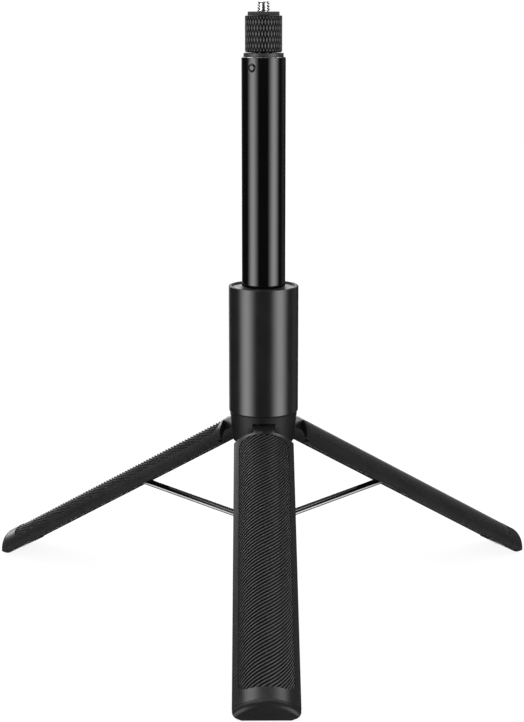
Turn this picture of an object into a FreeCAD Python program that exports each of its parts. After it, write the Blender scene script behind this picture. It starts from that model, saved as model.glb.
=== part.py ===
import FreeCAD, Part
import math
import os

V = FreeCAD.Vector

# Frame: origin at the centre of the camera seat, +Z up the screw, front leg towards -Y.
floor_z = -296.3

# Camera screw and seat
screw_r = 3.175
screw_relief_r = 2.9
screw_top_z = 4.85
screw_base_r = 5.0
screw_base_z = -5.6
seat_r = 7.75
seat_bottom_z = -1.9

# Head ring and the neck it turns on
ring_r = 9.05
ring_bottom_z = -19.4
ring_chamfer = 0.6
ring_cavity_floor_z = -8.1
ring_counterbore_r = 4.5
ring_counterbore_z = -12.7
neck_r = 2.5
neck_top_z = -6.4
neck_groove_r = 2.1
neck_clip_r = 3.8
neck_flange_z = -13.0
neck_plug_bottom_z = -34.0

# Telescoping tubes, largest first
tube_outer_r = [10.9, 9.3, 8.0, 6.7, 5.4, 4.1]
tube_inner_r = [10.2, 8.7, 7.4, 6.1, 4.8, 3.5]
pole_top_z = -21.6
section_top_z = -20.7
last_tube_top_z = -14.0
section_bottom_z = -239.0
bush_length = 12.0
bush_lip = 0.8
guide_length = 10.0
slide_gap = 0.05

# Bush in the mouth of the pole tube, and the domed pin that locks it
pole_bush_lip_r = 9.8
pole_bush_top_z = -19.7
pole_bush_bottom_z = -36.0
bush_pin_r = 1.9
bush_pin_hole_r = 2.05
bush_pin_z = -26.5
bush_pin_tip_r = 11.25
bush_pin_azimuth = -32.0

# Sleeve of the handle
sleeve_r = 17.5
sleeve_bore_r = 16.0
sleeve_top_z = -133.8
sleeve_bottom_z = -198.0
sleeve_bevel = 1.0
sleeve_bush_top_z = -135.0
sleeve_bush_bottom_z = -149.0

# Collar that carries the legs
collar_plug_top_z = -184.0
collar_top_r = 17.0
collar_bottom_r = 15.3
collar_bottom_z = -212.7
collar_bore_r = 11.3
collar_slot_width = 11.1
collar_slot_roof = 2.7
lower_bush_r = 13.0
lower_bush_top_z = -186.0
lower_bush_bottom_z = -199.0

# Leg hinge and the linkage
hinge_r = 13.6
hinge_z = -204.0
hinge_pin_r = 1.0
hinge_pin_length = 15.0
leg_open_angle = 59.9
strut_open_angle = 80.2
strut_pivot_u = 78.9
leg_azimuths = {"front": 0.0, "left": -120.0, "right": 120.0}

# Leg section: a 117 degree piece of the handle's ring; u runs down the folded leg
leg_r = 17.5
leg_wall_r = 15.8
leg_lip_r = 13.3
leg_inner_r = 12.14
leg_half_angle = 58.5
channel_half_angle = 50.0
leg_top_u = 6.3
leg_end_wall_u = 9.5
leg_end_wall = 2.0
shell_bottom_u = 168.4
liner_bottom_u = 160.0
foot_end_u = 172.0
foot_round = 2.6
foot_chord_y = 6.0

# Tongue of the leg
tongue_width = 10.5
tongue_barrel_r = 2.2

# Rubber grip set into the leg
grip_floor_r = 16.7
grip_r = 17.4
grip_width = 24.7
grip_top_u = 8.0
grip_bottom_u = 162.0
grip_corner_r = 5.0

# Clips of the liner
clip_u = [18.0, 52.0, 71.5, 108.0, 128.0, 147.5]
clip_length = 3.0
clip_height = 1.1
clip_angle = 54.5

# Struts
strut_width = 5.0
strut_thickness = 2.4
strut_eye_r = 1.9
strut_round = 1.1
strut_pin_r = 0.8
boss_gap = 0.35
boss_outer_x = 5.4
hub_pin_half = 4.2

# Hub at the pole's lower end
hub_lug_outer_x = 4.3
hub_lug_r = 15.4
hub_disc_bottom = 0.4
hub_disc_top = 2.0
hub_plug_top = 12.0
hub_notch_r = 1.0
hub_cap_r = 6.0
hub_cap_thickness = 2.0
hub_screw_r = 1.5
hub_screw_head_r = 2.8
hub_screw_head = 1.8

theta = math.radians(leg_open_angle)
phi = math.radians(strut_open_angle)
strut_length = strut_pivot_u * math.sin(theta) / math.sin(phi)
hub_z = hinge_z - strut_pivot_u * math.cos(theta) - strut_length * math.cos(phi)


def cylinder(radius, low_z, high_z):
    return Part.makeCylinder(radius, high_z - low_z, V(0, 0, low_z))


def tube(outer, inner, low_z, high_z):
    return cylinder(outer, low_z, high_z).cut(cylinder(inner, low_z - 1, high_z + 1))


def cross_pin(radius, half_length, r, z):
    """A pin along X at radius r on the front side."""
    return Part.makeCylinder(radius, 2 * half_length, V(-half_length, -r, z), V(1, 0, 0))


def block(x_low, x_high, r_low, r_high, z_low, z_high):
    """A box on the front side, between two distances from the pole's axis."""
    return Part.makeBox(x_high - x_low, r_high - r_low, z_high - z_low, V(x_low, -r_high, z_low))


def wedge(half_angle, low_z, high_z):
    """Everything within half_angle of the front direction."""
    far = 60.0
    a = math.radians(half_angle)
    edge = V(far * math.sin(a), -far * math.cos(a), low_z)
    points = [V(0, 0, low_z), V(-edge.x, edge.y, low_z), V(0, -2 * far, low_z), edge, V(0, 0, low_z)]
    return Part.Face(Part.makePolygon(points)).extrude(V(0, 0, high_z - low_z))


def sector(inner, outer, half_angle, low_z, high_z):
    return tube(outer, inner, low_z, high_z).common(wedge(half_angle, low_z, high_z))


def side_profile(points, x_low, x_high):
    """Extrudes an outline given as (r, z) pairs on the front side."""
    outline = [V(x_low, -r, z) for r, z in points]
    outline.append(outline[0])
    return Part.Face(Part.makePolygon(outline)).extrude(V(x_high - x_low, 0, 0))


def leg_z(u):
    return hinge_z - u


def open_leg(shape, azimuth):
    """Turns a part built with the front leg folded to its open place."""
    s = shape.copy()
    s.rotate(V(0, -hinge_r, hinge_z), V(1, 0, 0), -leg_open_angle)
    s.rotate(V(0, 0, 0), V(0, 0, 1), azimuth)
    return s


def edges_where(shape, test):
    return [e for e in shape.Edges if test(e)]


parts = {}

# Head: screw, seat, ring, and the neck that the ring turns on
screw = cylinder(screw_r, 0.0, screw_top_z)
screw = screw.makeChamfer(0.45, edges_where(screw, lambda e: e.CenterOfMass.z > screw_top_z - 0.1))
screw = screw.fuse(cylinder(screw_relief_r, seat_bottom_z, 0.0))
parts["camera_screw"] = screw.fuse(cylinder(screw_base_r, screw_base_z, seat_bottom_z)).removeSplitter()
pad = tube(seat_r, screw_r, seat_bottom_z, 0.0)
parts["seat_pad"] = pad.makeChamfer(0.3, edges_where(pad, lambda e: e.CenterOfMass.z > -0.1 and e.Length > 30))
ring = cylinder(ring_r, ring_bottom_z, seat_bottom_z)
ring = ring.makeChamfer(ring_chamfer, edges_where(ring, lambda e: e.CenterOfMass.z < ring_bottom_z + 0.1))
ring = ring.makeChamfer(0.3, edges_where(ring, lambda e: e.CenterOfMass.z > seat_bottom_z - 0.1))
ring = ring.cut(cylinder(screw_base_r, ring_cavity_floor_z, seat_bottom_z + 1))
ring = ring.cut(cylinder(neck_r + slide_gap, ring_bottom_z, ring_cavity_floor_z + 1))
parts["head_ring"] = ring.cut(cylinder(ring_counterbore_r, ring_bottom_z - 1, ring_counterbore_z))
neck = cylinder(tube_inner_r[5], neck_plug_bottom_z, last_tube_top_z)
neck = neck.fuse(cylinder(tube_outer_r[5], last_tube_top_z, neck_flange_z))
neck = neck.fuse(cylinder(neck_r, neck_flange_z, neck_top_z))
parts["neck"] = neck.cut(tube(neck_r + 1, neck_groove_r, -7.75, -7.15)).removeSplitter()
parts["neck_clip"] = tube(neck_clip_r, neck_groove_r, -7.75, -7.15)

# Telescoping sections with the guide at each lower end and the bush in each mouth
for k in range(1, 6):
    name = str(k + 1)
    top = last_tube_top_z if k == 5 else section_top_z
    parts["tube_" + name] = tube(tube_outer_r[k], tube_inner_r[k], section_bottom_z, top)
    guide_r = tube_inner_r[k - 1] - slide_gap
    guide = tube(guide_r, tube_outer_r[k], section_bottom_z, section_bottom_z + guide_length)
    parts["guide_" + name] = guide
    if k < 5:
        hole_r = tube_outer_r[k + 1] + slide_gap
        bush = tube(tube_inner_r[k], hole_r, top - bush_length, top)
        lip = tube(tube_outer_r[k], hole_r, top, top + bush_lip)
        parts["bush_" + name] = bush.fuse(lip).removeSplitter()

# Pole tube, its mouth bush and the domed pin
pin_turn = math.radians(bush_pin_azimuth)
pin_axis = V(math.sin(pin_turn), -math.cos(pin_turn), 0)


def along_pin(r):
    return V(pin_axis.x * r, pin_axis.y * r, bush_pin_z)


pole = tube(tube_outer_r[0], tube_inner_r[0], hub_z + hub_disc_top, pole_top_z)
pole = pole.makeChamfer(0.25, edges_where(pole, lambda e: e.CenterOfMass.z > pole_top_z - 0.1 and e.Length > 66))
parts["pole_tube"] = pole.cut(Part.makeCylinder(bush_pin_hole_r, 6, along_pin(8), pin_axis))
bush_hole_r = tube_outer_r[1] + slide_gap
mouth = tube(tube_inner_r[0], bush_hole_r, pole_bush_bottom_z, pole_top_z)
mouth = mouth.fuse(tube(pole_bush_lip_r, bush_hole_r, pole_top_z, pole_bush_top_z)).removeSplitter()
parts["pole_bush"] = mouth.cut(Part.makeCylinder(bush_pin_r, 4, along_pin(8), pin_axis))
nub = Part.makeCylinder(bush_pin_r, bush_pin_tip_r - 9.6, along_pin(9.6), pin_axis)
nub_end = edges_where(nub, lambda e: (e.CenterOfMass - along_pin(bush_pin_tip_r)).Length < 0.1)
parts["bush_pin"] = nub.makeFillet(0.9, nub_end)

# Handle: sleeve, its two bushes and the collar
sleeve = cylinder(sleeve_r, sleeve_bottom_z, sleeve_top_z)
sleeve = sleeve.makeChamfer(0.3, edges_where(sleeve, lambda e: e.CenterOfMass.z > sleeve_top_z - 0.1))
foot_edge = edges_where(sleeve, lambda e: e.CenterOfMass.z < sleeve_bottom_z + 0.1)
sleeve = sleeve.makeFillet(sleeve_bevel, foot_edge)
parts["sleeve"] = sleeve.cut(cylinder(sleeve_bore_r, sleeve_bottom_z - 1, sleeve_top_z + 1))
bush_r = tube_outer_r[0] + slide_gap
parts["sleeve_bush"] = tube(sleeve_bore_r, bush_r, sleeve_bush_bottom_z, sleeve_bush_top_z)
parts["lower_bush"] = tube(lower_bush_r, bush_r, lower_bush_bottom_z, lower_bush_top_z)
cone_height = sleeve_bottom_z - collar_bottom_z
collar = Part.makeCone(collar_bottom_r, collar_top_r, cone_height, V(0, 0, collar_bottom_z))
collar = collar.fuse(cylinder(sleeve_bore_r, sleeve_bottom_z, collar_plug_top_z))
collar = collar.cut(cylinder(collar_bore_r, collar_bottom_z - 1, collar_plug_top_z + 1))
collar = collar.cut(cylinder(lower_bush_r, lower_bush_bottom_z, collar_plug_top_z + 1))
half_slot = collar_slot_width / 2
pins = []
for azimuth in leg_azimuths.values():
    slot = block(-half_slot, half_slot, 5.0, 20.0, collar_bottom_z - 1, hinge_z + collar_slot_roof)
    pin = cross_pin(hinge_pin_r, hinge_pin_length / 2, hinge_r, hinge_z)
    for tool in (slot, pin):
        tool.rotate(V(0, 0, 0), V(0, 0, 1), azimuth)
        collar = collar.cut(tool)
    pins.append(pin)
parts["collar"] = collar
parts["leg_hinge_pins"] = Part.makeCompound(pins)

# Leg shell, built folded
tongue_outline = [(-2.1, 0.0), (-2.1, -5.0), (-0.3, -leg_end_wall_u - 1), (3.0, -leg_end_wall_u - 1), (3.6, -5.4),
                  (2.9, -0.4), (1.6, 1.5)]
channel_top = leg_z(leg_end_wall_u)
shell = sector(leg_wall_r, leg_r, leg_half_angle, leg_z(shell_bottom_u), leg_z(leg_top_u))
walls = sector(leg_lip_r, leg_wall_r + 0.1, leg_half_angle, leg_z(shell_bottom_u), channel_top)
channel = wedge(channel_half_angle, leg_z(shell_bottom_u) - 1, channel_top - leg_end_wall)
shell = shell.fuse(walls.cut(channel))
half_tongue = tongue_width / 2
tongue = side_profile([(hinge_r + v, hinge_z + z) for v, z in tongue_outline], -half_tongue, half_tongue)
tongue = tongue.fuse(cross_pin(tongue_barrel_r, half_tongue, hinge_r, hinge_z))
tongue = tongue.common(cylinder(leg_r, leg_z(20), leg_z(-5)))
shell = shell.fuse(tongue).cut(cross_pin(hinge_pin_r + slide_gap, 10, hinge_r, hinge_z))
boss_inner_x = strut_width / 2 + boss_gap
for side in (-1, 1):
    x_low, x_high = sorted((side * boss_inner_x, side * boss_outer_x))
    boss = block(x_low, x_high, 12.3, leg_wall_r + 0.3, leg_z(strut_pivot_u + 2.8), leg_z(strut_pivot_u - 2.8))
    shell = shell.fuse(boss)
shell = shell.cut(cross_pin(strut_pin_r, 10, hinge_r, leg_z(strut_pivot_u)))

# Grip outline: a rounded rectangle seen from outside
grip_box = block(-grip_width / 2, grip_width / 2, 8.0, 20.0, leg_z(grip_bottom_u), leg_z(grip_top_u))
upright = edges_where(grip_box, lambda e: abs(e.Vertexes[0].Point.y - e.Vertexes[1].Point.y) > 5)
grip_box = grip_box.makeFillet(grip_corner_r, upright)
ring_low, ring_high = leg_z(grip_bottom_u) - 1, leg_z(grip_top_u) + 1
shell = shell.cut(grip_box.common(tube(leg_r + 1, grip_floor_r, ring_low, ring_high)))
grip = grip_box.common(tube(grip_r, grip_floor_r, ring_low, ring_high))

# Liner with the clips that hook into the shell's side walls
liner = sector(leg_inner_r, leg_lip_r, leg_half_angle, leg_z(liner_bottom_u), channel_top)
for u in clip_u:
    low, high = leg_z(u + clip_length / 2), leg_z(u - clip_length / 2)
    hooks = sector(leg_lip_r - 0.1, leg_lip_r + clip_height, leg_half_angle, low, high)
    hooks = hooks.cut(wedge(clip_angle, low - 1, high + 1))
    shell = shell.cut(hooks)
    liner = liner.fuse(hooks)
half_strut_slot = strut_width / 2 + 0.4
windows = [(half_strut_slot, strut_pivot_u - 9.0, 153.0),
           (boss_outer_x + 0.4, strut_pivot_u - 3.6, strut_pivot_u + 3.6),
           (boss_outer_x + 0.4, 141.0, 153.0)]
for half_width, start_u, end_u in windows:
    liner = liner.cut(block(-half_width, half_width, 5.0, 20.0, leg_z(end_u), leg_z(start_u)))

# Foot: a rounded cap with a spigot up the shell, trimmed flat where it stands
cap = cylinder(leg_r, leg_z(foot_end_u), leg_z(shell_bottom_u))
cap = cap.makeFillet(foot_round, edges_where(cap, lambda e: e.CenterOfMass.z < leg_z(foot_end_u) + 0.1))
spigot = cylinder(leg_lip_r, leg_z(shell_bottom_u), leg_z(liner_bottom_u))
foot = cap.fuse(spigot).common(wedge(leg_half_angle, leg_z(foot_end_u), leg_z(liner_bottom_u)))
plug_wedge = wedge(channel_half_angle, leg_z(shell_bottom_u), leg_z(liner_bottom_u))
foot = foot.fuse(cylinder(leg_wall_r, leg_z(shell_bottom_u), leg_z(liner_bottom_u)).common(plug_wedge))
foot = foot.cut(block(-30, 30, -30, foot_chord_y, leg_z(200), leg_z(100))).removeSplitter()
floor_block = Part.makeBox(600, 600, 40, V(-300, -300, floor_z - 40))

# Strut, built along the folded leg from its pivot down
strut_top_z = leg_z(strut_pivot_u)
strut_end_z = strut_top_z - strut_length
half_strut = strut_width / 2
half_thick = strut_thickness / 2
strut = block(-half_strut, half_strut, hinge_r - half_thick, hinge_r + half_thick, strut_end_z, strut_top_z)
for z in (strut_top_z, strut_end_z):
    strut = strut.fuse(cross_pin(strut_eye_r, half_strut, hinge_r, z))
strut = strut.removeSplitter()
strut = strut.makeFillet(strut_round, edges_where(strut, lambda e: e.Length > strut_length * 0.8))
strut = strut.cut(cross_pin(strut_pin_r + slide_gap, 10, hinge_r, strut_top_z))
strut = strut.cut(cross_pin(strut_pin_r, 10, hinge_r, strut_end_z))
hub_pin = cross_pin(strut_pin_r, hub_pin_half, hinge_r, strut_end_z)
strut_pin = cross_pin(strut_pin_r, boss_outer_x, hinge_r, strut_top_z)


def open_strut(shape, azimuth):
    s = shape.copy()
    s.rotate(V(0, -hinge_r, strut_top_z), V(1, 0, 0), leg_open_angle + strut_open_angle)
    return open_leg(s, azimuth)


for side, azimuth in leg_azimuths.items():
    parts["leg_shell_" + side] = open_leg(shell, azimuth)
    parts["leg_grip_" + side] = open_leg(grip, azimuth)
    parts["leg_liner_" + side] = open_leg(liner, azimuth)
    parts["foot_" + side] = open_leg(foot, azimuth).cut(floor_block)
    parts["strut_pin_" + side] = open_leg(strut_pin, azimuth)
    parts["strut_" + side] = open_strut(strut, azimuth)
    parts["hub_pin_" + side] = open_strut(hub_pin, azimuth)

# Hub: plug, disc and three pairs of lugs with notches open below
hub = cylinder(tube_inner_r[0], hub_z + hub_disc_top, hub_z + hub_plug_top)
hub = hub.fuse(cylinder(tube_outer_r[0], hub_z + hub_disc_bottom, hub_z + hub_disc_top))
lug_outline = [(8.0, hub_disc_top), (hub_lug_r, hub_disc_top), (hub_lug_r, -1.7), (hinge_r + hub_notch_r, -1.7),
               (hinge_r + hub_notch_r, 0.0), (hinge_r - hub_notch_r, 0.0), (11.4, -1.7), (8.0, -1.7)]
for azimuth in leg_azimuths.values():
    for side in (-1, 1):
        x_low, x_high = sorted((side * boss_inner_x, side * hub_lug_outer_x))
        lug = side_profile([(r, hub_z + z) for r, z in lug_outline], x_low, x_high)
        lug = lug.cut(cross_pin(hub_notch_r, 10, hinge_r, hub_z))
        lug = lug.common(cylinder(hub_lug_r, hub_z - 5, hub_z + 5))
        lug.rotate(V(0, 0, 0), V(0, 0, 1), azimuth)
        hub = hub.fuse(lug)
hub = hub.cut(cylinder(hub_screw_r, hub_z - 5, hub_z + hub_plug_top - 2))
parts["hub"] = hub.removeSplitter()
cap_top = hub_z + hub_disc_bottom
parts["hub_cap"] = tube(hub_cap_r, hub_screw_r, cap_top - hub_cap_thickness, cap_top)
screw_shaft = cylinder(hub_screw_r, cap_top - hub_cap_thickness, hub_z + hub_plug_top - 3)
head_top = cap_top - hub_cap_thickness
hub_screw = screw_shaft.fuse(cylinder(hub_screw_head_r, head_top - hub_screw_head, head_top))
parts["hub_screw"] = hub_screw.cut(Part.makeBox(0.8, 5, 0.8, V(-0.4, -2.5, head_top - hub_screw_head)))

os.makedirs("parts", exist_ok=True)
for name, shape in parts.items():
    shape.exportStep("parts/" + name + ".step")
    print(name, len(shape.Solids), shape.isValid(), round(shape.Volume, 1))
print("hub_z", round(hub_z, 3), "strut", round(strut_length, 3), "pieces", len(parts))
print("travel", round(strut_pivot_u + strut_length + hub_z - hinge_z, 3))
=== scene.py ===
import bpy
import bmesh
from math import atan2, cos, pi, radians, sin, tan
from mathutils import Matrix, Vector


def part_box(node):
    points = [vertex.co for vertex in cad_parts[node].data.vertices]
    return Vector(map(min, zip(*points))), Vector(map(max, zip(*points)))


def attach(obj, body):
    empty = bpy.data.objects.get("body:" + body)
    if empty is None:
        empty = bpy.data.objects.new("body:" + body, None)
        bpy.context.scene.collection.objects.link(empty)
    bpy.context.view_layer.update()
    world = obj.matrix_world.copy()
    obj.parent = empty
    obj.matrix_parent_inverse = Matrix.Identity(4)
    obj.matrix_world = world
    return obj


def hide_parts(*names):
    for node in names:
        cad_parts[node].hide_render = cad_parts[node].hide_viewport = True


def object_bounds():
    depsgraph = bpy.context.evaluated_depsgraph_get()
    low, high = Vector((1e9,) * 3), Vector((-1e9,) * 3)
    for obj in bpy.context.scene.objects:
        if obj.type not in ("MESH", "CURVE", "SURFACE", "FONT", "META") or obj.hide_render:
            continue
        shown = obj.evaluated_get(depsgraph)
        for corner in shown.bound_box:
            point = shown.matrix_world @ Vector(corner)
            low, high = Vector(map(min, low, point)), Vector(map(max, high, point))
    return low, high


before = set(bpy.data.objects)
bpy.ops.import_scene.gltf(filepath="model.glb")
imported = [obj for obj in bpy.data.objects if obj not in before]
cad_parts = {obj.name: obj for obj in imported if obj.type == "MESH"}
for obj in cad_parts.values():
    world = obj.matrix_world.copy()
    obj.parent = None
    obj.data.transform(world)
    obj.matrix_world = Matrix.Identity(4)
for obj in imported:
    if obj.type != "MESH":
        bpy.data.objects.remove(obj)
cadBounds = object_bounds()

mm = 0.001
legTurns = {"front": 0, "left": -120, "right": 120}
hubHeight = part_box("hub_cap")[1].z / mm - 0.4
print("frame loaded,", len(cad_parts), "CAD nodes")


cameraSetup = {"place": (-0.00718, -0.8319, -0.0002), "pitchDown": 0.2042, "turn": -0.00771, "lens": 84.07}


def makeCamera():
    data = bpy.data.cameras.new("studioCamera")
    data.sensor_fit = "AUTO"
    data.sensor_width = 36.0
    data.lens = cameraSetup["lens"]
    data.clip_start = 0.05
    data.clip_end = 20.0
    camera = bpy.data.objects.new("studioCamera", data)
    bpy.context.scene.collection.objects.link(camera)
    camera.location = cameraSetup["place"]
    camera.rotation_euler = (pi / 2 - cameraSetup["pitchDown"], 0, cameraSetup["turn"])
    bpy.context.scene.camera = camera


def addNode(tree, kind, values=None, **settings):
    node = tree.nodes.new("ShaderNode" + kind)
    for key, value in settings.items():
        setattr(node, key, value)
    for key, value in (values or {}).items():
        node.inputs[key].default_value = value
    return node


def sumUp(tree, operation, *terms):
    # a Math node whose inputs are sockets or plain numbers
    node = addNode(tree, "Math", operation=operation)
    for socket, term in zip(node.inputs, terms):
        if isinstance(term, (int, float)):
            socket.default_value = term
        else:
            tree.links.new(term, socket)
    return node.outputs[0]


def softStep(tree, value, low, high, lowResult=0.0, highResult=1.0):
    node = addNode(tree, "MapRange", interpolation_type="SMOOTHSTEP")
    for key, number in {"From Min": low, "From Max": high, "To Min": lowResult, "To Max": highResult}.items():
        node.inputs[key].default_value = number
    tree.links.new(value, node.inputs["Value"])
    return node.outputs[0]


studio = {
    "floorSize": 6.0, "floorGlow": 0.9, "floorPaint": 0.16, "dome": 1.0,
    # what reflections see, by height above the horizon in degrees: (angle, brightness)
    "heights": [(-85, 0.1), (-45, 0.15), (-26, 0.02), (-4, 0.02), (12, 0.12), (26, 0.14), (40, 0.1),
                (60, 0.07), (85, 0.05)],
    # soft panels: turn, half width, lowest, highest, softness in height, brightness
    "panels": [(-58.5, 36, -36, 6, 0.5, 5.5), (55, 36, -36, 6, 0.5, 5.5), (-113, 34, 37, 65, 10, 3.3),
               (113, 34, 40, 65, 10, 2.6), (180, 70, 40, 70, 8, 4.8), (-60, 50, 58, 82, 6, 4),
               (-150, 20, 5, 32, 4, 3.2), (-162, 22, -36, 4, 1, 0.6), (122, 26, -36, 6, 1, 0.15),
               (180, 17, -36, 6, 1, 3.5)],
}


def makeFloor():
    bm = bmesh.new()
    bmesh.ops.create_grid(bm, x_segments=4, y_segments=4, size=studio["floorSize"] / 2)
    bmesh.ops.translate(bm, vec=(0, 0, cadBounds[0].z), verts=bm.verts)
    mesh = bpy.data.meshes.new("studioFloor")
    bm.to_mesh(mesh)
    bm.free()
    floor = bpy.data.objects.new("studioFloor", mesh)
    bpy.context.scene.collection.objects.link(floor)
    material = bpy.data.materials.new("paleFloor")
    material.use_nodes = True
    tree = material.node_tree
    shader = tree.nodes["Principled BSDF"]
    shader.inputs["Base Color"].default_value = (studio["floorPaint"],) * 3 + (1,)
    shader.inputs["Roughness"].default_value = 0.9
    shader.inputs["Specular IOR Level"].default_value = 0.0
    shader.inputs["Emission Color"].default_value = (1, 1, 1, 1)
    shader.inputs["Emission Strength"].default_value = studio["floorGlow"]
    mesh.materials.append(material)
    floor.visible_glossy = False  # polished parts see the studio's strips, not the table
    floor.visible_shadow = False


def makeWorld():
    world = bpy.data.worlds.new("softStudio")
    bpy.context.scene.world = world
    world.use_nodes = True
    tree = world.node_tree
    tree.nodes.clear()
    link = tree.links.new
    direction = addNode(tree, "TexCoord")
    split = addNode(tree, "SeparateXYZ")
    link(direction.outputs["Generated"], split.inputs[0])
    back = sumUp(tree, "MULTIPLY", split.outputs["Y"], -1.0)
    turn = sumUp(tree, "DEGREES", sumUp(tree, "ARCTAN2", split.outputs["X"], back))
    height = sumUp(tree, "DEGREES", sumUp(tree, "ARCSINE", split.outputs["Z"]))
    ramp = addNode(tree, "ValToRGB")
    stops = ramp.color_ramp.elements
    stops[0].color = stops[1].color = (studio["heights"][0][1],) * 3 + (1,)
    for angle, level in studio["heights"]:
        stop = stops.new((angle + 90) / 180)
        stop.color = (level, level, level, 1)
    scaled = addNode(tree, "MapRange", {"From Min": -90.0, "From Max": 90.0})
    link(height, scaled.inputs["Value"])
    link(scaled.outputs[0], ramp.inputs[0])
    total = ramp.outputs[0]
    for at, halfWidth, low, high, soft, level in studio["panels"]:
        away = sumUp(tree, "PINGPONG", sumUp(tree, "SUBTRACT", turn, at), 180.0)
        across = softStep(tree, away, 0.0, halfWidth, level, 0.0)
        below = softStep(tree, height, high - soft, high + soft, 1.0, 0.0)
        above = softStep(tree, height, low - soft, low + soft)
        between = sumUp(tree, "MULTIPLY", below, above)
        total = sumUp(tree, "ADD", total, sumUp(tree, "MULTIPLY", across, between))
    rays = addNode(tree, "LightPath")
    plain = addNode(tree, "Background", {"Color": (1, 1, 1, 1), "Strength": studio["dome"]})
    strips = addNode(tree, "Background", {"Color": (1, 1, 1, 1)})
    link(total, strips.inputs["Strength"])
    choose = addNode(tree, "MixShader")
    link(rays.outputs["Is Glossy Ray"], choose.inputs[0])
    link(plain.outputs[0], choose.inputs[1])
    link(strips.outputs[0], choose.inputs[2])
    output = tree.nodes.new("ShaderNodeOutputWorld")
    link(choose.outputs[0], output.inputs["Surface"])
    world.cycles.sampling_method = "NONE"


makeCamera()
makeFloor()
makeWorld()
bpy.context.scene.view_settings.view_transform = "Standard"
bpy.context.scene.view_settings.look = "None"
print("camera, floor and light ready")


def startGroup(name, inputs, outputs):
    group = bpy.data.node_groups.new(name, "ShaderNodeTree")
    for label, kind, value in inputs:
        socket = group.interface.new_socket(label, in_out="INPUT", socket_type="NodeSocket" + kind)
        socket.default_value = value
    for label in outputs:
        group.interface.new_socket(label, in_out="OUTPUT", socket_type="NodeSocketFloat")
    return group, group.nodes.new("NodeGroupInput"), group.nodes.new("NodeGroupOutput")


def makeGrain():
    # moulded or blasted grain for bump, and a slow mask for tone and roughness
    inputs = [("Vector", "Vector", (0, 0, 0)), ("Size", "Float", 2500.0), ("Stretch", "Vector", (1, 1, 1))]
    group, start, end = startGroup("surfaceGrain", inputs, ["Height", "Mottle"])
    link = group.links.new
    stretched = addNode(group, "VectorMath", operation="MULTIPLY")
    fine = addNode(group, "TexNoise", {"Detail": 4.0, "Roughness": 0.62})
    pits = addNode(group, "TexVoronoi")
    slow = addNode(group, "TexNoise", {"Scale": 60.0, "Detail": 4.0, "Roughness": 0.55})
    link(start.outputs["Vector"], stretched.inputs[0])
    link(start.outputs["Stretch"], stretched.inputs[1])
    for node in (fine, pits):
        link(stretched.outputs[0], node.inputs["Vector"])
        link(start.outputs["Size"], node.inputs["Scale"])
    link(start.outputs["Vector"], slow.inputs["Vector"])
    height = sumUp(group, "MULTIPLY_ADD", pits.outputs["Distance"], 0.35, fine.outputs[0])
    link(height, end.inputs["Height"])
    link(slow.outputs[0], end.inputs["Mottle"])
    return group


def makeWear():
    # rubbed edges: the piece's edgeWear attribute broken up by noise
    inputs = [("Vector", "Vector", (0, 0, 0)), ("Breakup", "Float", 420.0), ("Amount", "Float", 0.5)]
    group, start, end = startGroup("rubbedEdges", inputs, ["Mask"])
    link = group.links.new
    worn = addNode(group, "Attribute", attribute_name="edgeWear")
    noise = addNode(group, "TexNoise", {"Detail": 5.0, "Roughness": 0.65})
    link(start.outputs["Vector"], noise.inputs["Vector"])
    link(start.outputs["Breakup"], noise.inputs["Scale"])
    broken = sumUp(group, "MULTIPLY", worn.outputs["Fac"], softStep(group, noise.outputs[0], 0.35, 0.7))
    mask = addNode(group, "Math", operation="MULTIPLY", use_clamp=True)
    link(broken, mask.inputs[0])
    link(start.outputs["Amount"], mask.inputs[1])
    link(mask.outputs[0], end.inputs["Mask"])
    return group


def makeCrestLight():
    # tops of ribs and knurls: the piece's crest attribute, a little uneven, as the mask for a painted
    # highlight on the tops and painted shade in the hollows
    inputs = [("Vector", "Vector", (0, 0, 0)), ("Low", "Float", 0.3), ("High", "Float", 0.9),
              ("Gloss", "Float", 1.0)]
    group, start, end = startGroup("paintedCrestLight", inputs, ["Mask", "Coat"])
    link = group.links.new
    crest = addNode(group, "Attribute", attribute_name="crest")
    noise = addNode(group, "TexNoise", {"Scale": 900.0, "Detail": 3.0})
    link(start.outputs["Vector"], noise.inputs["Vector"])
    lifted = sumUp(group, "ADD", crest.outputs["Fac"], 0.12)
    uneven = sumUp(group, "MULTIPLY_ADD", noise.outputs[0], -0.25, lifted)
    step = addNode(group, "MapRange", interpolation_type="SMOOTHSTEP")
    link(uneven, step.inputs["Value"])
    link(start.outputs["Low"], step.inputs["From Min"])
    link(start.outputs["High"], step.inputs["From Max"])
    link(step.outputs[0], end.inputs["Mask"])
    link(sumUp(group, "MULTIPLY", step.outputs[0], start.outputs["Gloss"]), end.inputs["Coat"])
    return group


def makeMarks():
    # faint handling marks and lengthwise hairlines on polished tube
    inputs = [("Vector", "Vector", (0, 0, 0)), ("Size", "Float", 90.0)]
    group, start, end = startGroup("handlingMarks", inputs, ["Smudge", "Hairline"])
    link = group.links.new
    cloud = addNode(group, "TexNoise", {"Detail": 6.0, "Roughness": 0.6, "Distortion": 0.4})
    stretched = addNode(group, "VectorMath", operation="MULTIPLY")
    stretched.inputs[1].default_value = (9.0, 9.0, 0.35)
    lines = addNode(group, "TexNoise", {"Scale": 260.0, "Detail": 2.0})
    link(start.outputs["Vector"], cloud.inputs["Vector"])
    link(start.outputs["Size"], cloud.inputs["Scale"])
    link(start.outputs["Vector"], stretched.inputs[0])
    link(stretched.outputs[0], lines.inputs["Vector"])
    link(softStep(group, cloud.outputs[0], 0.42, 0.72), end.inputs["Smudge"])
    link(softStep(group, lines.outputs[0], 0.62, 0.74), end.inputs["Hairline"])
    return group


grainGroup = makeGrain()
wearGroup = makeWear()
marksGroup = makeMarks()
crestLightGroup = makeCrestLight()


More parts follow.
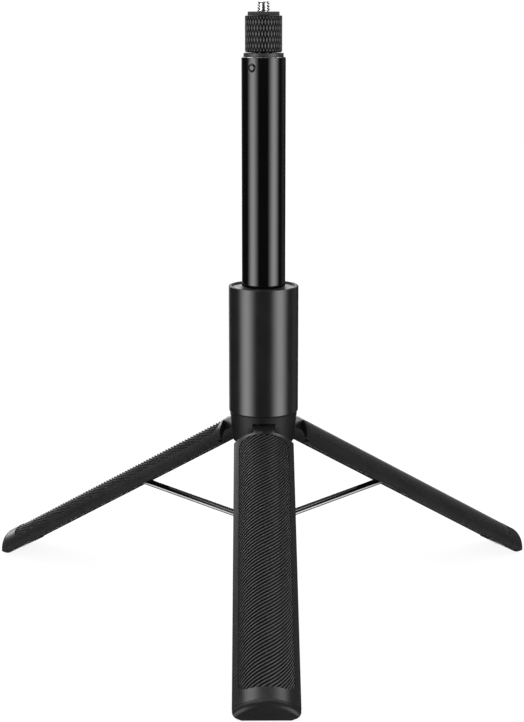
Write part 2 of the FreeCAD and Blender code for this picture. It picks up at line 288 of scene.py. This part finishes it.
def makeFinish(name, color, roughness, metallic=0.0, specular=0.5, coat=0.0, coatRoughness=0.05, mottle=0.15,
               worn=(0.2, 0.2, 0.2), wornAmount=0.35, grainSize=2500.0, grainDepth=0.01, stretch=(1, 1, 1),
               smudge=0.0, hairline=0.0, sheen=0.0, litCrestColour=None, litCrestFrom=(0.3, 0.9), raisedGloss=1.0):
    # roughness is lowest and highest; grainDepth is in millimetres; the crest colour is a painted highlight
    # on ribs' and knurls' tops, which leaves the hollows darker as painted shade
    material = bpy.data.materials.new(name)
    material.use_nodes = True
    tree = material.node_tree
    link = tree.links.new
    shader = tree.nodes["Principled BSDF"]
    shader.inputs["Specular IOR Level"].default_value = specular
    shader.inputs["Coat Weight"].default_value = coat
    shader.inputs["Coat Roughness"].default_value = coatRoughness
    shader.inputs["Sheen Weight"].default_value = sheen
    place = addNode(tree, "TexCoord")
    grain = addNode(tree, "Group", node_tree=grainGroup)
    grain.inputs["Size"].default_value = grainSize
    grain.inputs["Stretch"].default_value = stretch
    wear = addNode(tree, "Group", node_tree=wearGroup)
    wear.inputs["Amount"].default_value = wornAmount
    marks = addNode(tree, "Group", node_tree=marksGroup)
    for node in (grain, wear, marks):
        link(place.outputs["Object"], node.inputs["Vector"])
    tone = addNode(tree, "Mix", data_type="RGBA")
    edge = addNode(tree, "Mix", data_type="RGBA")
    darker, lighter = [c * (1 - mottle) for c in color], [c * (1 + mottle) for c in color]
    for node, key, paint in ((tone, 6, darker), (tone, 7, lighter), (edge, 7, worn)):
        node.inputs[key].default_value = (*paint, 1)
    link(softStep(tree, grain.outputs["Mottle"], 0.3, 0.7), tone.inputs[0])
    link(wear.outputs["Mask"], edge.inputs[0])
    link(tone.outputs[2], edge.inputs[6])
    # painted highlight: ribs' and knurls' tops take a lighter colour than the hollows, which read as painted
    # shade
    if litCrestColour:
        tops = addNode(tree, "Group", node_tree=crestLightGroup)
        tops.inputs["Low"].default_value, tops.inputs["High"].default_value = litCrestFrom
        tops.inputs["Gloss"].default_value = raisedGloss
        link(place.outputs["Object"], tops.inputs["Vector"])
        lifted = addNode(tree, "Mix", data_type="RGBA")
        lifted.inputs[7].default_value = (*litCrestColour, 1)
        link(tops.outputs["Mask"], lifted.inputs[0])
        link(tops.outputs["Coat"], shader.inputs["Coat Weight"])
        link(edge.outputs[2], lifted.inputs[6])
        link(lifted.outputs[2], shader.inputs["Base Color"])
    else:
        link(edge.outputs[2], shader.inputs["Base Color"])
    rough = softStep(tree, grain.outputs["Mottle"], 0.3, 0.7, *roughness)
    rough = sumUp(tree, "MULTIPLY_ADD", marks.outputs["Smudge"], smudge, rough)
    rough = sumUp(tree, "MULTIPLY_ADD", marks.outputs["Hairline"], hairline, rough)
    link(rough, shader.inputs["Roughness"])
    shader.inputs["Metallic"].default_value = metallic
    if metallic < 1:  # rubbed edges show bare metal
        link(sumUp(tree, "MAXIMUM", wear.outputs["Mask"], metallic), shader.inputs["Metallic"])
    bump = addNode(tree, "Bump", {"Strength": 1.0, "Distance": grainDepth * mm})
    link(grain.outputs["Height"], bump.inputs["Height"])
    link(bump.outputs["Normal"], shader.inputs["Normal"])
    return material


finishes = {
    "glossPaint": makeFinish("glossBlackTube", (0.0025, 0.0025, 0.0027), (0.05, 0.07), smudge=0.03,
                             hairline=0.04, grainSize=700, grainDepth=0.0008, mottle=0.1,
                             worn=(0.6, 0.6, 0.61), wornAmount=2.5),
    "satinSleeve": makeFinish("satinBlackSleeve", (0.0115, 0.0115, 0.012), (0.19, 0.22), smudge=0.03,
                              grainSize=5200, grainDepth=0.0015, mottle=0.08, worn=(0.3, 0.3, 0.31)),
    # the knurl's diamond tops carry a painted highlight, lighter than the painted shade of its grooves
    "knurlMetal": makeFinish("blackKnurledRing", (0.002, 0.002, 0.0021), (0.4, 0.5), specular=0.08,
                             grainSize=4200, grainDepth=0.004, worn=(0.1, 0.1, 0.105), wornAmount=0.3,
                             coatRoughness=0.55, litCrestColour=(0.085, 0.085, 0.087), litCrestFrom=(0.4, 0.9),
                             raisedGloss=0.5),
    "chrome": makeFinish("platedScrew", (0.78, 0.78, 0.79), (0.1, 0.2), metallic=1.0, grainSize=1800,
                         grainDepth=0.002, mottle=0.04, worn=(0.9, 0.9, 0.9)),
    "polishedSteel": makeFinish("polishedStrut", (0.12, 0.12, 0.123), (0.09, 0.13), metallic=1.0,
                                grainSize=3000, grainDepth=0.0015, mottle=0.1, worn=(0.5, 0.5, 0.5)),
    "legPlastic": makeFinish("mouldedLegPlastic", (0.012, 0.012, 0.0125), (0.24, 0.3), grainSize=3400,
                             grainDepth=0.003, mottle=0.1, worn=(0.09, 0.09, 0.09), wornAmount=0.4),
    "collarPlastic": makeFinish("matteCollar", (0.0045, 0.0045, 0.0047), (0.45, 0.55), specular=0.22,
                                grainSize=3000, grainDepth=0.006, worn=(0.08, 0.08, 0.08), wornAmount=0.3),
    "footPlastic": makeFinish("footPlastic", (0.013, 0.013, 0.0133), (0.34, 0.42), specular=0.25,
                              grainSize=3000, grainDepth=0.005, worn=(0.09, 0.09, 0.09)),
    # the grip's rib crests carry a painted highlight over the dark painted shade of the valleys
    "gripRubber": makeFinish("ribbedRubber", (0.004, 0.004, 0.0042), (0.5, 0.6), specular=0.12,
                             grainSize=2600, grainDepth=0.008, sheen=0.05, worn=(0.06, 0.06, 0.06),
                             coatRoughness=0.3, litCrestColour=(0.05, 0.05, 0.051), litCrestFrom=(0.5, 0.98)),
    "seatRubber": makeFinish("seatRubber", (0.03, 0.03, 0.03), (0.6, 0.75), specular=0.3, grainSize=2400,
                             grainDepth=0.02, sheen=0.1),
    "greyBush": makeFinish("greyBushPlastic", (0.66, 0.66, 0.67), (0.35, 0.45), grainSize=3000,
                           grainDepth=0.008, mottle=0.06, worn=(0.5, 0.5, 0.5), wornAmount=0.2),
    "ferruleGrey": makeFinish("ferruleGrey", (0.035, 0.035, 0.036), (0.35, 0.45), metallic=0.1,
                              grainSize=3200, grainDepth=0.006, worn=(0.25, 0.25, 0.25)),
    "darkBush": makeFinish("darkBushPlastic", (0.045, 0.045, 0.046), (0.35, 0.45), grainSize=3000,
                           grainDepth=0.008, worn=(0.12, 0.12, 0.12)),
}
print("finishes ready:", len(finishes))


def finishPiece(name, bm, body, nodes, finish, sharpAngle=35):
    bmesh.ops.remove_doubles(bm, verts=bm.verts, dist=1e-7)
    mesh = bpy.data.meshes.new(name)
    bm.to_mesh(mesh)
    bm.free()
    mesh.shade_smooth()
    mesh.set_sharp_from_angle(angle=radians(sharpAngle))
    mesh.materials.append(finishes[finish])
    piece = bpy.data.objects.new(name, mesh)
    bpy.context.scene.collection.objects.link(piece)
    even = piece.modifiers.new("evenShading", "WEIGHTED_NORMAL")
    even.keep_sharp = True
    even.weight = 80
    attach(piece, body)
    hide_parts(*nodes)
    return piece


def roundEdges(bm, width, segments=2, degrees=30, near=None):
    # rounds the sharp edges and marks them for the rubbed-edge effect
    worn = bm.verts.layers.float.get("edgeWear") or bm.verts.layers.float.new("edgeWear")
    edges = [e for e in bm.edges if len(e.link_faces) == 2 and e.calc_face_angle(0) > radians(degrees)
             and (near is None or near(e))]
    made = bmesh.ops.bevel(bm, geom=edges, offset=width * mm, offset_type="OFFSET", segments=segments,
                           profile=0.5, affect="EDGES", material=-1, clamp_overlap=True)
    rounded = set(made["faces"])
    for vert in made["verts"]:
        if rounded.issuperset(vert.link_faces):  # only the middle of the rounding
            vert[worn] = 1.0


def drawOutline(bm, points, closed=True):
    # points are (radius, height) in millimetres
    verts = [bm.verts.new((r * mm, 0, z * mm)) for r, z in points]
    pairs = list(zip(verts, verts[1:])) + ([(verts[-1], verts[0])] if closed else [])
    return verts + [bm.edges.new(pair) for pair in pairs]


def lathe(points, edgeRound=0.12, steps=144, segments=2):
    bm = bmesh.new()
    bmesh.ops.spin(bm, geom=drawOutline(bm, points), cent=(0, 0, 0), axis=(0, 0, 1), angle=2 * pi,
                   steps=steps, use_merge=True)
    bmesh.ops.remove_doubles(bm, verts=bm.verts, dist=1e-7)
    bmesh.ops.recalc_face_normals(bm, faces=bm.faces)
    if edgeRound:
        roundEdges(bm, edgeRound, segments)
    return bm


def ringOutline(outer, inner, low, high):
    return [(inner, low), (outer, low), (outer, high), (inner, high)]


def cadCopy(node, edgeRound=0.0, segments=2):
    # a CAD node's mesh with its flat faces joined and its edges rounded
    bm = bmesh.new()
    bm.from_mesh(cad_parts[node].data)
    bmesh.ops.remove_doubles(bm, verts=bm.verts, dist=1e-6)
    bmesh.ops.dissolve_limit(bm, angle_limit=radians(0.4), verts=bm.verts, edges=bm.edges)
    if edgeRound:
        roundEdges(bm, edgeRound, segments)
    return bm


def clipBy(bm, point, normal):
    # cuts away what lies past a plane
    bmesh.ops.bisect_plane(bm, geom=bm.verts[:] + bm.edges[:] + bm.faces[:], dist=1e-7, plane_co=point,
                           plane_no=normal, clear_outer=True)


def closeCuts(bm):
    bmesh.ops.holes_fill(bm, edges=[e for e in bm.edges if e.is_boundary], sides=0)


def cutHole(bm, name, radius, inner, outer, turn, height):
    # a round hole through a wall, as an applied Boolean
    mesh = bpy.data.meshes.new(name)
    bm.to_mesh(mesh)
    bm.free()
    target = bpy.data.objects.new(name, mesh)
    drill = bmesh.new()
    bmesh.ops.create_cone(drill, cap_ends=True, segments=40, radius1=radius * mm, radius2=radius * mm,
                          depth=(outer - inner) * mm)
    bmesh.ops.rotate(drill, cent=(0, 0, 0), matrix=Matrix.Rotation(pi / 2, 3, "X"), verts=drill.verts)
    bmesh.ops.translate(drill, vec=(0, -(outer + inner) / 2 * mm, height * mm), verts=drill.verts)
    bmesh.ops.rotate(drill, cent=(0, 0, 0), matrix=Matrix.Rotation(radians(turn), 3, "Z"), verts=drill.verts)
    drillMesh = bpy.data.meshes.new(name + "Drill")
    drill.to_mesh(drillMesh)
    drill.free()
    cutter = bpy.data.objects.new(name + "Drill", drillMesh)
    for thing in (target, cutter):
        bpy.context.scene.collection.objects.link(thing)
    cut = target.modifiers.new("hole", "BOOLEAN")
    cut.object = cutter
    cut.operation = "DIFFERENCE"
    cut.solver = "EXACT"
    bpy.context.view_layer.update()
    result = bmesh.new()
    evaluated = target.evaluated_get(bpy.context.evaluated_depsgraph_get())
    result.from_mesh(bpy.data.meshes.new_from_object(evaluated))
    for thing in (target, cutter):
        bpy.data.objects.remove(thing)
    return result


screw = {"major": 3.17, "core": 2.45, "bore": 0.6, "top": 4.83, "tipBevel": (0.3, 0.35), "edgeRound": 0.08,
         "head": 4.9, "headTop": -1.9, "headFall": 0.05, "headLow": -5.5, "sides": 72,
         "pitch": 1.27, "crestWidth": 0.18, "rootDepth": 0.15, "threadLow": -1.6, "threadFrom": 0.03,
         "threadEnd": 0.2, "taper": 0.13, "taperLength": 1.1, "steps": 36, "turns": 6}


def makeScrew():
    core, top, bore = screw["core"], screw["top"], screw["bore"]
    inwards, downwards = screw["tipBevel"]
    outline = [(bore, top), (core - inwards, top), (core, top - downwards), (core, screw["headTop"]),
               (screw["head"], screw["headTop"] - screw["headFall"]), (screw["head"], screw["headLow"]),
               (bore, screw["headLow"])]
    bm = lathe(outline, edgeRound=screw["edgeRound"], steps=screw["sides"])
    thread = bmesh.new()
    half, flat = screw["pitch"] / 2 * 0.98, screw["crestWidth"] / 2
    root = core - screw["rootDepth"]
    flank = [(root, -half), (screw["major"], -flat), (screw["major"], flat), (root, half)]
    start = [(r, z + screw["threadLow"]) for r, z in flank]
    rise = screw["pitch"] / screw["steps"] * mm
    bmesh.ops.spin(thread, geom=drawOutline(thread, start), cent=(0, 0, 0), axis=(0, 0, 1),
                   angle=2 * pi * screw["turns"], steps=screw["steps"] * screw["turns"], dvec=(0, 0, rise))
    bmesh.ops.remove_doubles(thread, verts=thread.verts, dist=1e-7)
    bmesh.ops.recalc_face_normals(thread, faces=thread.faces)
    for height, way in ((screw["threadFrom"], -1), (top - screw["threadEnd"], 1)):
        clipBy(thread, (0, 0, height * mm), (0, 0, way))
        closeCuts(thread)
    for vert in thread.verts:  # lead-in taper at the tip
        past = vert.co.z / mm - (top - screw["taperLength"])
        if past > 0 and vert.co.xy.length > core * mm:
            vert.co.xy *= 1 - screw["taper"] * min(1, past)
    mesh = bpy.data.meshes.new("threadPart")
    thread.to_mesh(mesh)
    thread.free()
    bm.from_mesh(mesh)
    return finishPiece("cameraScrew", bm, "head", ["camera_screw"], "chrome", sharpAngle=30)


seat = {"radius": 7.74, "bore": 3.25, "top": -0.02, "low": -1.88, "rim": (0.3, 0.28), "rings": 5,
        "firstRing": 0.75, "ringStep": 0.75, "ringSide": 0.15, "ringDepth": 0.12}


def makeSeat():
    # a rubber disc with fine rings on top
    radius, top, side = seat["radius"], seat["top"], seat["ringSide"]
    inwards, downwards = seat["rim"]
    outline = [(seat["bore"], seat["low"]), (radius, seat["low"]), (radius, top - downwards),
               (radius - inwards, top)]
    for k in range(seat["rings"]):
        r = radius - seat["firstRing"] - k * seat["ringStep"]
        outline += [(r, top), (r - side, -seat["ringDepth"]), (r - 2 * side, -seat["ringDepth"]),
                    (r - 3 * side, top)]
    outline.append((seat["bore"], top))
    bm = lathe(outline, edgeRound=0.0)
    return finishPiece("seatPad", bm, "head", ["seat_pad"], "seatRubber", sharpAngle=30)


knurl = {"around": 36, "rowStep": 2.8, "outer": 9.05, "floor": 8.82, "low": -18.95, "high": -2.2,
         "topShare": 0.5, "fill": 0.88, "sunk": 0.1, "cutFoot": 0.3, "cutTop": 0.25, "edgeRound": 0.06,
         "seatLow": -1.92, "bore": 2.6, "lowBore": 4.5, "pocket": 5.05, "pocketFloor": -8.05,
         "web": -12.7, "foot": -19.4, "land": 9.0, "footBevel": 0.55, "footLand": 0.25, "topLand": 0.3,
         "grooveFrom": 0.55, "topBevel": 0.3}


def makeRing():
    k = knurl
    low, high = k["low"], k["high"]
    body = [(k["bore"], k["web"]), (k["lowBore"], k["web"]), (k["lowBore"], k["foot"]),
            (k["land"] - k["footBevel"], k["foot"]), (k["land"], low), (k["land"], low + k["footLand"]),
            (k["floor"], low + k["grooveFrom"]), (k["floor"], high - k["grooveFrom"]),
            (k["land"], high - k["topLand"]), (k["land"], high), (k["land"] - k["topBevel"], k["seatLow"]),
            (k["pocket"], k["seatLow"]), (k["pocket"], k["pocketFloor"]), (k["bore"], k["pocketFloor"])]
    bm = lathe(body, edgeRound=k["edgeRound"])
    diamonds = bmesh.new()
    halfWidth = pi * k["outer"] / k["around"] * k["fill"]
    halfHeight = k["rowStep"] * k["fill"]
    bmesh.ops.create_cone(diamonds, cap_ends=True, segments=4, radius1=1, radius2=k["topShare"], depth=1)
    # crest marks the diamond tops for the finish's painted highlight
    crest = diamonds.verts.layers.float.new("crest")
    for vert in diamonds.verts:
        vert[crest] = 1.0 if vert.co.z > 0 else 0.0
    depth = k["outer"] - k["floor"] + k["sunk"]
    bmesh.ops.scale(diamonds, vec=(halfWidth * mm, halfHeight * mm, depth * mm), verts=diamonds.verts)
    bmesh.ops.rotate(diamonds, cent=(0, 0, 0), matrix=Matrix.Rotation(pi / 2, 3, "X"), verts=diamonds.verts)
    bmesh.ops.translate(diamonds, vec=(0, -(k["outer"] - depth / 2) * mm, 0), verts=diamonds.verts)
    first = diamonds.verts[:] + diamonds.edges[:] + diamonds.faces[:]
    rows = int((high - low) / k["rowStep"]) + 3
    step = 2 * pi / k["around"]
    for row in range(rows):
        for column in range(k["around"]):
            made = bmesh.ops.duplicate(diamonds, geom=first)["geom"]
            verts = [v for v in made if isinstance(v, bmesh.types.BMVert)]
            turn = Matrix.Rotation((column + row % 2 * 0.5) * step, 3, "Z")
            bmesh.ops.translate(diamonds, vec=(0, 0, (low + row * k["rowStep"]) * mm), verts=verts)
            bmesh.ops.rotate(diamonds, cent=(0, 0, 0), matrix=turn, verts=verts)
    bmesh.ops.delete(diamonds, geom=[g for g in first if isinstance(g, bmesh.types.BMVert)], context="VERTS")
    clipBy(diamonds, (0, 0, (low + k["cutFoot"]) * mm), (0, 0, -1))
    clipBy(diamonds, (0, 0, (high - k["cutTop"]) * mm), (0, 0, 1))
    closeCuts(diamonds)
    mesh = bpy.data.meshes.new("diamondPart")
    diamonds.to_mesh(mesh)
    diamonds.free()
    bm.from_mesh(mesh)
    return finishPiece("knurledRing", bm, "head", ["head_ring"], "knurlMetal", sharpAngle=25)


makeScrew()
makeSeat()
makeRing()
print("head ready")


pole = {"outer": 10.9, "inner": 10.2, "top": -21.6, "low": hubHeight + 2.02, "holeRadius": 2.05,
        "holeHeight": -26.5, "holeTurn": -32, "holeBand": 2.8, "drill": (8, 14), "steps": 240,
        "edgeRound": 0.3, "rimRound": 0.4, "rimReach": 2.4}


def makePole():
    o, i, low, top = pole["outer"], pole["inner"], pole["low"], pole["top"]
    above, below = pole["holeHeight"] + pole["holeBand"], pole["holeHeight"] - pole["holeBand"]
    outline = [(i, low), (o, low), (o, below), (o, above), (o, top), (i, top), (i, above), (i, below)]
    bm = lathe(outline, edgeRound=pole["edgeRound"], steps=pole["steps"], segments=3)
    bm = cutHole(bm, "poleTube", pole["holeRadius"], *pole["drill"], pole["holeTurn"], pole["holeHeight"])
    centre = Matrix.Rotation(radians(pole["holeTurn"]), 3, "Z") @ Vector((0, -o, 0)) * mm
    centre.z = pole["holeHeight"] * mm

    def atRim(edge):
        # edges of the hole on the tube's outside
        return all((v.co - centre).length < pole["rimReach"] * mm and v.co.xy.length > (o - 0.1) * mm
                   for v in edge.verts)

    roundEdges(bm, pole["rimRound"], segments=3, near=atRim)
    return finishPiece("poleTube", bm, "pole", ["pole_tube"], "glossPaint")


poleBush = {"bore": 9.35, "body": 10.2, "neck": 9.8, "low": -36, "high": -19.75, "edgeRound": 0.1}


def makePoleBush():
    p = poleBush
    outline = [(p["bore"], p["low"]), (p["body"], p["low"]), (p["body"], pole["top"]),
               (p["neck"], pole["top"]), (p["neck"], p["high"]), (p["bore"], p["high"])]
    return finishPiece("poleBush", lathe(outline, p["edgeRound"]), "pole", ["pole_bush"], "ferruleGrey")


pin = {"radius": 1.9, "bore": 0.05, "base": 9.65, "tip": 11.22, "dome": 0.9}


def makeSpringPin():
    r, d, bore = pin["radius"], pin["dome"], pin["bore"]
    dome = [(r - d + d * sin(radians(a)), pin["tip"] - d + d * cos(radians(a))) for a in range(90, -1, -15)]
    bm = lathe([(bore, pin["base"]), (r, pin["base"])] + dome + [(bore, pin["tip"])], edgeRound=0.0, steps=48)
    turn = Matrix.Rotation(radians(pole["holeTurn"]), 3, "Z")
    bmesh.ops.rotate(bm, cent=(0, 0, 0), matrix=Matrix.Rotation(pi / 2, 3, "X"), verts=bm.verts)
    bmesh.ops.translate(bm, vec=(0, 0, pole["holeHeight"] * mm), verts=bm.verts)
    bmesh.ops.rotate(bm, cent=(0, 0, 0), matrix=turn, verts=bm.verts)
    return finishPiece("springPin", bm, "pole", ["bush_pin"], "glossPaint")


makePole()
makePoleBush()
makeSpringPin()
print("pole ready")


sections = {"outer": [9.3, 8.0, 6.7, 5.4, 4.1], "inner": [8.7, 7.4, 6.1, 4.8, 3.5], "top": -20.7,
            "lastTop": -14.0, "low": -239.0, "edgeRound": 0.1, "bushLength": 12.0, "bushLip": 0.8,
            "bushPlay": 0.05}


def makeSections():
    for k in range(5):
        body = f"section_{k + 2}"
        outer, inner = sections["outer"][k], sections["inner"][k]
        top = sections["lastTop"] if k == 4 else sections["top"]
        bm = lathe(ringOutline(outer, inner, sections["low"], top), sections["edgeRound"], steps=120)
        finishPiece(f"innerTube{k + 2}", bm, body, [f"tube_{k + 2}"], "glossPaint")
        if k < 4:
            hole = sections["outer"][k + 1] + sections["bushPlay"]
            foot, lip = top - sections["bushLength"], top + sections["bushLip"]
            outline = [(hole, foot), (inner, foot), (inner, top), (outer, top), (outer, lip), (hole, lip)]
            bm = lathe(outline, sections["edgeRound"])
            finishPiece(f"tubeBush{k + 2}", bm, body, [f"bush_{k + 2}"], "darkBush")


makeSections()
print("sections ready")


sleeve = {"outer": 17.5, "bore": 16.0, "top": -133.8, "low": -198.0, "bevel": 1.0, "bushTop": -135.0,
          "bushLow": -149.0, "bushBore": 10.95, "bushStep": (0.8, 1.1), "stepDepth": 0.35, "bushRound": 0.12,
          "edgeRound": 0.28, "collarRound": 0.25}


def makeSleeve():
    o, low, b = sleeve["outer"], sleeve["low"], sleeve["bevel"]
    curve = [(o - b + b * sin(radians(a)), low + b - b * cos(radians(a))) for a in range(0, 91, 15)]
    outline = [(sleeve["bore"], low)] + curve + [(o, sleeve["top"]), (sleeve["bore"], sleeve["top"])]
    bm = lathe(outline, sleeve["edgeRound"], steps=180, segments=3)
    return finishPiece("handleSleeve", bm, "handle", ["sleeve"], "satinSleeve", sharpAngle=40)


def makeSleeveBush():
    # a pale ring with a shallow step round the pole
    bore, low, top = sleeve["bushBore"], sleeve["bushLow"], sleeve["bushTop"]
    stepTop, (stepIn, stepOut) = top - sleeve["stepDepth"], sleeve["bushStep"]
    outline = [(bore, low), (sleeve["bore"], low), (sleeve["bore"], top), (bore + stepOut, top),
               (bore + stepIn, stepTop), (bore, stepTop)]
    bm = lathe(outline, sleeve["bushRound"])
    return finishPiece("sleeveBush", bm, "handle", ["sleeve_bush"], "greyBush")


makeSleeve()
makeSleeveBush()
finishPiece("legCollar", cadCopy("collar", sleeve["collarRound"]), "handle", ["collar"], "collarPlastic")
print("handle ready")


grip = {"rise": 30.5, "pitch": 2.0, "valley": 16.76, "crest": 17.4, "floor": 16.7, "width": 24.7, "top": 8.0,
        "low": 162.0, "corner": 5.0, "gap": 0.12, "steps": 24, "span": 48, "margin": (15, 3),
        "bendTurn": 31, "bend": (0.75, 1.65, 1.57),  # how the ribs steepen towards one side
        # one rib: share of the pitch, share of the height
        "profile": [(0.1, 0), (0.26, 0.5), (0.38, 0.88), (0.5, 1), (0.62, 0.88), (0.74, 0.5), (0.9, 0)]}
leg = {"hingeRadius": 13.6, "hingeHeight": -204.0, "openAngle": 59.9, "shellRound": 0.22, "linerRound": 0.15,
       "footRound": 0.2}


def openLeg(bm, turn):
    # swings a piece made on the folded front leg to where it stands open
    hinge = Vector((0, -leg["hingeRadius"], leg["hingeHeight"])) * mm
    swing = Matrix.Rotation(radians(-leg["openAngle"]), 3, "X")
    bmesh.ops.rotate(bm, cent=hinge, matrix=swing, verts=bm.verts)
    bmesh.ops.rotate(bm, cent=(0, 0, 0), matrix=Matrix.Rotation(radians(turn), 3, "Z"), verts=bm.verts)


def makeGrip(side):
    bm = bmesh.new()
    lowest, highest = leg["hingeHeight"] - grip["low"], leg["hingeHeight"] - grip["top"]
    slope = tan(radians(grip["rise"]))
    lift = slope * grip["crest"] * radians(grip["span"])  # how far a rib climbs from the middle to a side
    points, crests, z = [], [], lowest - lift - grip["margin"][0]
    while z < highest + lift + grip["margin"][1]:
        for share, height in grip["profile"]:
            radius = grip["valley"] + (grip["crest"] - grip["valley"]) * height
            points.append((radius, z - lift + share * grip["pitch"]))
            crests.append(height)
        z += grip["pitch"]
    # crest holds each rib's height, the mask for the finish's painted highlight on crests
    crest = bm.verts.layers.float.new("crest")
    geom = drawOutline(bm, points, closed=False)
    for vert, height in zip(geom, crests):
        vert[crest] = height
    turn = Matrix.Rotation(radians(-90 - grip["span"]), 3, "Z")
    bmesh.ops.rotate(bm, cent=(0, 0, 0), matrix=turn, verts=bm.verts)
    bmesh.ops.spin(bm, geom=geom, cent=(0, 0, 0), axis=(0, 0, 1), angle=radians(2 * grip["span"]),
                   steps=grip["steps"], dvec=(0, 0, 2 * lift / grip["steps"] * mm))
    for vert in bm.verts:
        share = atan2(vert.co.x, -vert.co.y) / radians(grip["bendTurn"])
        vert.co.z += sum(k * share ** (n + 1) for n, k in enumerate(grip["bend"])) * mm
    halfWidth, c = grip["width"] / 2 - grip["gap"], grip["corner"]
    middle, halfHeight = (lowest + highest) / 2, (highest - lowest) / 2 - grip["gap"]
    for sideways in (-1, 1):
        clipBy(bm, (sideways * halfWidth * mm, 0, 0), (sideways, 0, 0))
        clipBy(bm, (0, 0, (middle + sideways * halfHeight) * mm), (0, 0, sideways))
        for upward in (-1, 1):
            for a in (22.5, 45, 67.5):
                normal = Vector((sideways * cos(radians(a)), 0, upward * sin(radians(a))))
                centre = Vector((sideways * (halfWidth - c), 0, middle + upward * (halfHeight - c)))
                clipBy(bm, (centre + normal * c) * mm, normal)
    back = bmesh.ops.extrude_face_region(bm, geom=bm.faces[:], use_keep_orig=True)["geom"]
    for vert in back:
        if isinstance(vert, bmesh.types.BMVert):
            vert.co.xy = vert.co.xy.normalized() * grip["floor"] * mm
    bmesh.ops.recalc_face_normals(bm, faces=bm.faces)
    openLeg(bm, legTurns[side])
    node = f"leg_grip_{side}"
    return finishPiece(f"legGrip.{side}", bm, f"leg_{side}", [node], "gripRubber", sharpAngle=50)


def makeLeg(side):
    for name, node, edgeRound, finish in (("legShell", "leg_shell", leg["shellRound"], "legPlastic"),
                                          ("legLiner", "leg_liner", leg["linerRound"], "legPlastic"),
                                          ("foot", "foot", leg["footRound"], "footPlastic")):
        bm = cadCopy(f"{node}_{side}", edgeRound)
        finishPiece(f"{name}.{side}", bm, f"leg_{side}", [f"{node}_{side}"], finish)
    strut = f"strut_{side}"
    finishPiece(f"strut.{side}", cadCopy(strut), f"{strut}_body", [strut], "polishedSteel")
    makeGrip(side)


for side in legTurns:
    makeLeg(side)
print("legs ready")


hub = {"edgeRound": 0.15, "capRound": 0.3}
finishPiece("poleHub", cadCopy("hub", hub["edgeRound"]), "pole", ["hub"], "legPlastic")
finishPiece("hubCap", cadCopy("hub_cap", hub["capRound"]), "pole", ["hub_cap"], "legPlastic")
print("hub ready")


# pieces kept from CAD take a finish by their node's name
finishOf = {"hub_screw": "polishedSteel", "lower_bush": "darkBush", "leg_hinge_pins": "glossPaint",
            "neck": "polishedSteel", "neck_clip": "polishedSteel"}
for node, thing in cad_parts.items():
    if thing.hide_render:
        continue
    chosen = finishOf.get(node) or ("darkBush" if node.startswith("guide") else "polishedSteel")
    for materialSlot in thing.material_slots:
        materialSlot.material = finishes[chosen]
print("small parts ready")
